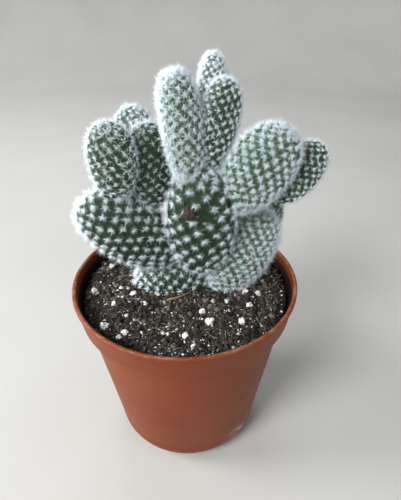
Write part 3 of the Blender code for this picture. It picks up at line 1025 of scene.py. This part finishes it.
def make_perlite_grains(finish, rng):
    """Each large grain in place of its plain solid, puffed and pitted."""
    for name in sorted(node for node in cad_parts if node.startswith("perlite_")):
        low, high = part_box(name)
        centre, size = (low + high) / 2, high - low
        bm = bmesh.new()
        bmesh.ops.create_icosphere(bm, subdivisions=4, radius=0.5)
        seed = Vector(rng.uniform(-50, 50, 3))
        for vert in bm.verts:
            lumps = 0.55 * noise.noise(vert.co * 3.0 + seed) + 0.26 * noise.noise(vert.co * 8.0 + seed)
            pits = 0.09 * noise.noise(vert.co * 22.0 + seed)
            vert.co *= 1 + lumps + pits
            vert.co = vert.co * size + centre
        lift = soil_height(centre.x, centre.y) - 0.25 * size.z - min(vert.co.z for vert in bm.verts)
        bmesh.ops.translate(bm, vec=(0, 0, lift), verts=bm.verts)
        mesh = built(bm, name + "_grain")
        mesh.shade_smooth()
        set_tint(mesh, np.full(len(mesh.vertices), rng.uniform(0.55, 1.0)))
        add_piece(name + "_grain", mesh, finish, [name])


def make_soil(finishes, skins):
    rng = np.random.default_rng(SEED + 1)
    trees = [tree_of(skins[name]) for name in ("pad_base", "pad_right_low", "pad_left_low")]
    paint(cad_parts["soil"].data, finishes["potting_soil"])
    make_soil_top(finishes["potting_soil"], trees)
    scatter("soil_crumbs_fine", CRUMB_COUNTS[:1], trees, finishes["crumbs"], rng,
            lambda draw: draw.beta(1.6, 2.6), patchiness=0.35)
    scatter("soil_crumbs", CRUMB_COUNTS[1:], trees, finishes["crumbs"], rng,
            lambda draw: draw.beta(1.4, 3.0), patchiness=0.35)
    scatter("perlite_specks", SPECK_COUNTS, trees, finishes["perlite"], rng,
            lambda draw: draw.uniform(0.0, 1.0), sink=0.3)
    make_fibres(trees, finishes["crumbs"], rng)
    make_perlite_grains(finishes["perlite"], rng)


# ---- small things

def make_straw(finish):
    """The bit of straw: a dry bent stalk that lies over the crumbs where its solid is."""
    low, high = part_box("straw")
    shares = np.linspace(0, 1, 28)
    bow = 1.2 * MM * np.sin(math.pi * shares)
    size = high - low
    line = np.stack([low.x + size.x * shares, low.y + size.y * shares - bow, 0 * shares], axis=1)
    highest = max(soil_height(x, y) for x, y, _ in line)
    line[:, 2] = highest + 0.5 * MM + 0.4 * bow
    radii = 0.5 * MM * (0.8 + 0.2 * np.sin(7 * shares)) * (1 - 0.6 * shares ** 3)
    points, faces = tube(line, radii, 12)
    mesh = mesh_from_arrays("straw_stalk", points, faces)
    add_piece("straw_stalk", mesh, finish, ["straw"])


def make_withered_bud(finish):
    """The dry bud: shrunken, ribbed and open at its tip."""
    low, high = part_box("withered_bud")
    centre, size = (low + high) / 2, high - low
    bm = bmesh.new()
    bmesh.ops.create_icosphere(bm, subdivisions=5, radius=0.5)
    for vert in bm.verts:
        angle = math.atan2(vert.co.x, vert.co.z)
        ribs = 0.10 * math.cos(7 * angle) * (1 - abs(vert.co.y * 2) ** 2)
        shrunk = 0.42 * noise.noise(vert.co * 3.4 + Vector((4, 9, 2))) + 0.30 * noise.noise(vert.co * 9)
        cup = 0.30 * math.exp(-((vert.co.x / 0.22) ** 2 + (vert.co.z / 0.22) ** 2)) if vert.co.y < 0 else 0
        vert.co *= 1 + ribs + shrunk - cup
        vert.co = vert.co * size + centre
    mesh = built(bm, "dry_bud")
    mesh.shade_smooth()
    add_piece("dry_bud", mesh, finish, ["withered_bud"])


# Dry flakes: pad, place across and along from its middle (mm), size (mm)
FLAKES = (
    ("pad_right", 9.0, 6.5, 1.5), ("pad_right_low", 4.0, 2.0, 1.9), ("pad_left_mid", -1.0, 0.5, 1.6),
    ("pad_centre", -11.0, -13.0, 1.5), ("pad_centre", 1.5, 6.0, 1.6), ("pad_centre", -1.5, 9.5, 1.3),
)


def make_flakes(finish, skins, axes):
    """Small corky flakes on the fronts of the pads, half sunk in the skin."""
    rng = np.random.default_rng(SEED + 2)
    shapes = grain_shapes(2, rng, len(FLAKES))
    flakes = []
    for (name, right, up, size), (points, faces) in zip(FLAKES, shapes):
        middle, across, through, along = axes[name]
        aim = Vector(middle + across * right * MM + along * up * MM + through * 30 * MM)
        place, normal, _, _ = tree_of(skins[name]).ray_cast(aim, Vector(-through))
        turn = normal.to_track_quat("Z", "Y").to_matrix()
        placed = (points * (size * MM, 0.7 * size * MM, 0.45 * size * MM)) @ np.array(turn).T
        flakes.append((placed + np.array(place + normal * 0.25 * MM), faces))
    add_piece("corky_flakes", merged("corky_flakes", flakes), finish)


# ---- stage

FLOOR_R = 0.8
FLOOR_CURVE = 0.5
WORLD_COLOUR = (0.78, 0.85, 0.92, 1)
WORLD_STRENGTH = 0.5

# Disk lights: place, target, diameter (m), power (W), colour
LIGHTS = {
    "key": ((-0.58, -0.66, 0.80), (0, 0, 0.1), 0.45, 16.0, (0.97, 0.99, 1.0)),
    "window": ((-1.00, 0.00, 0.58), (0, 0, 0.06), 0.50, 13.0, (0.97, 0.99, 1.0)),
    "fill": ((0.75, -0.45, 0.45), (0, 0, 0.1), 0.8, 1.6, (0.93, 0.96, 1.0)),
    "back": ((-0.1, 0.75, 0.85), (0, 0, 0.12), 0.6, 3.5, (0.92, 0.97, 1.0)),
}


def make_floor(finish):
    """A round pale floor that curves up into a backdrop on every side."""
    profile = [(0, 0), (FLOOR_R, 0)] + arc((FLOOR_R, FLOOR_CURVE), FLOOR_CURVE, -90, 0, 16)[1:]
    profile.append((FLOOR_R + FLOOR_CURVE, 4 * FLOOR_CURVE))
    mesh = bpy.data.meshes.new("floor")
    mesh.from_pydata([(radius, 0, height) for radius, height in profile],
                     [(i, i + 1) for i in range(len(profile) - 1)], [])
    made = modified_mesh(mesh, "floor_blank", ("SCREW", {
        "steps": 96, "render_steps": 96, "use_smooth_shade": True, "use_normal_flip": True,
        "use_merge_vertices": True, "merge_threshold": 0.00001}))
    paint(made, finish)
    link(bpy.data.objects.new("floor", made))


def area_light(name, place, target, size, power, colour):
    light = bpy.data.lights.new(name, "AREA")
    light.shape = "DISK"
    light.size = size
    light.energy = power
    light.color = colour
    obj = link(bpy.data.objects.new(name, light))
    obj.location = place
    obj.rotation_euler = (Vector(target) - Vector(place)).to_track_quat("-Z", "Y").to_euler()


def light_stage():
    for name, style in LIGHTS.items():
        area_light(name, *style)
    world = bpy.data.worlds.new("studio")
    world.use_nodes = True
    background = world.node_tree.nodes["Background"]
    background.inputs["Color"].default_value = WORLD_COLOUR
    background.inputs["Strength"].default_value = WORLD_STRENGTH
    bpy.context.scene.world = world


def make_camera():
    lens = bpy.data.cameras.new("camera")
    lens.lens = CAMERA_LENS
    lens.sensor_width = CAMERA_SENSOR
    lens.clip_start = 0.01
    camera = link(bpy.data.objects.new("camera", lens))
    camera.location = CAMERA_PLACE
    camera.rotation_euler = (math.radians(CAMERA_PITCH), 0, 0)
    bpy.context.scene.camera = camera


def main():
    make_camera()
    light_stage()
    finishes = {
        "pot": pot_plastic(),
        "old_pad_skin": pad_skin("old_pad_skin", *OLD_SKIN),
        "young_pad_skin": pad_skin("young_pad_skin", *YOUNG_SKIN),
        "bristles": bristle_white("bristle_white", (0.66, 0.72, 0.69), (0.78, 0.87, 0.93)),
        "potting_soil": peat(),
        "crumbs": peat_crumbs(),
        "perlite": perlite_white(),
        "straw": dry_plant("straw_brown", (0.12, 0.07, 0.035), (0.36, 0.24, 0.12), 500, (1, 6, 6)),
        "bud": dry_plant("bud_brown", (0.003, 0.002, 0.001), (0.085, 0.050, 0.031), 1100),
        "flakes": dry_plant("flake_tan", (0.07, 0.048, 0.032), (0.34, 0.27, 0.19), 1200),
        "roots": dry_plant("root_brown", (0.20, 0.13, 0.07), (0.45, 0.33, 0.20), 300, (4, 4, 1)),
    }
    make_floor(floor_paint())
    make_pot(finishes["pot"])
    skins, axes = make_pads(finishes)
    make_soil(finishes, skins)
    make_straw(finishes["straw"])
    make_withered_bud(finishes["bud"])
    make_flakes(finishes["flakes"], skins, axes)
    paint(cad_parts["roots"].data, finishes["roots"])
    bpy.context.scene.view_settings.view_transform = "Standard"


main()
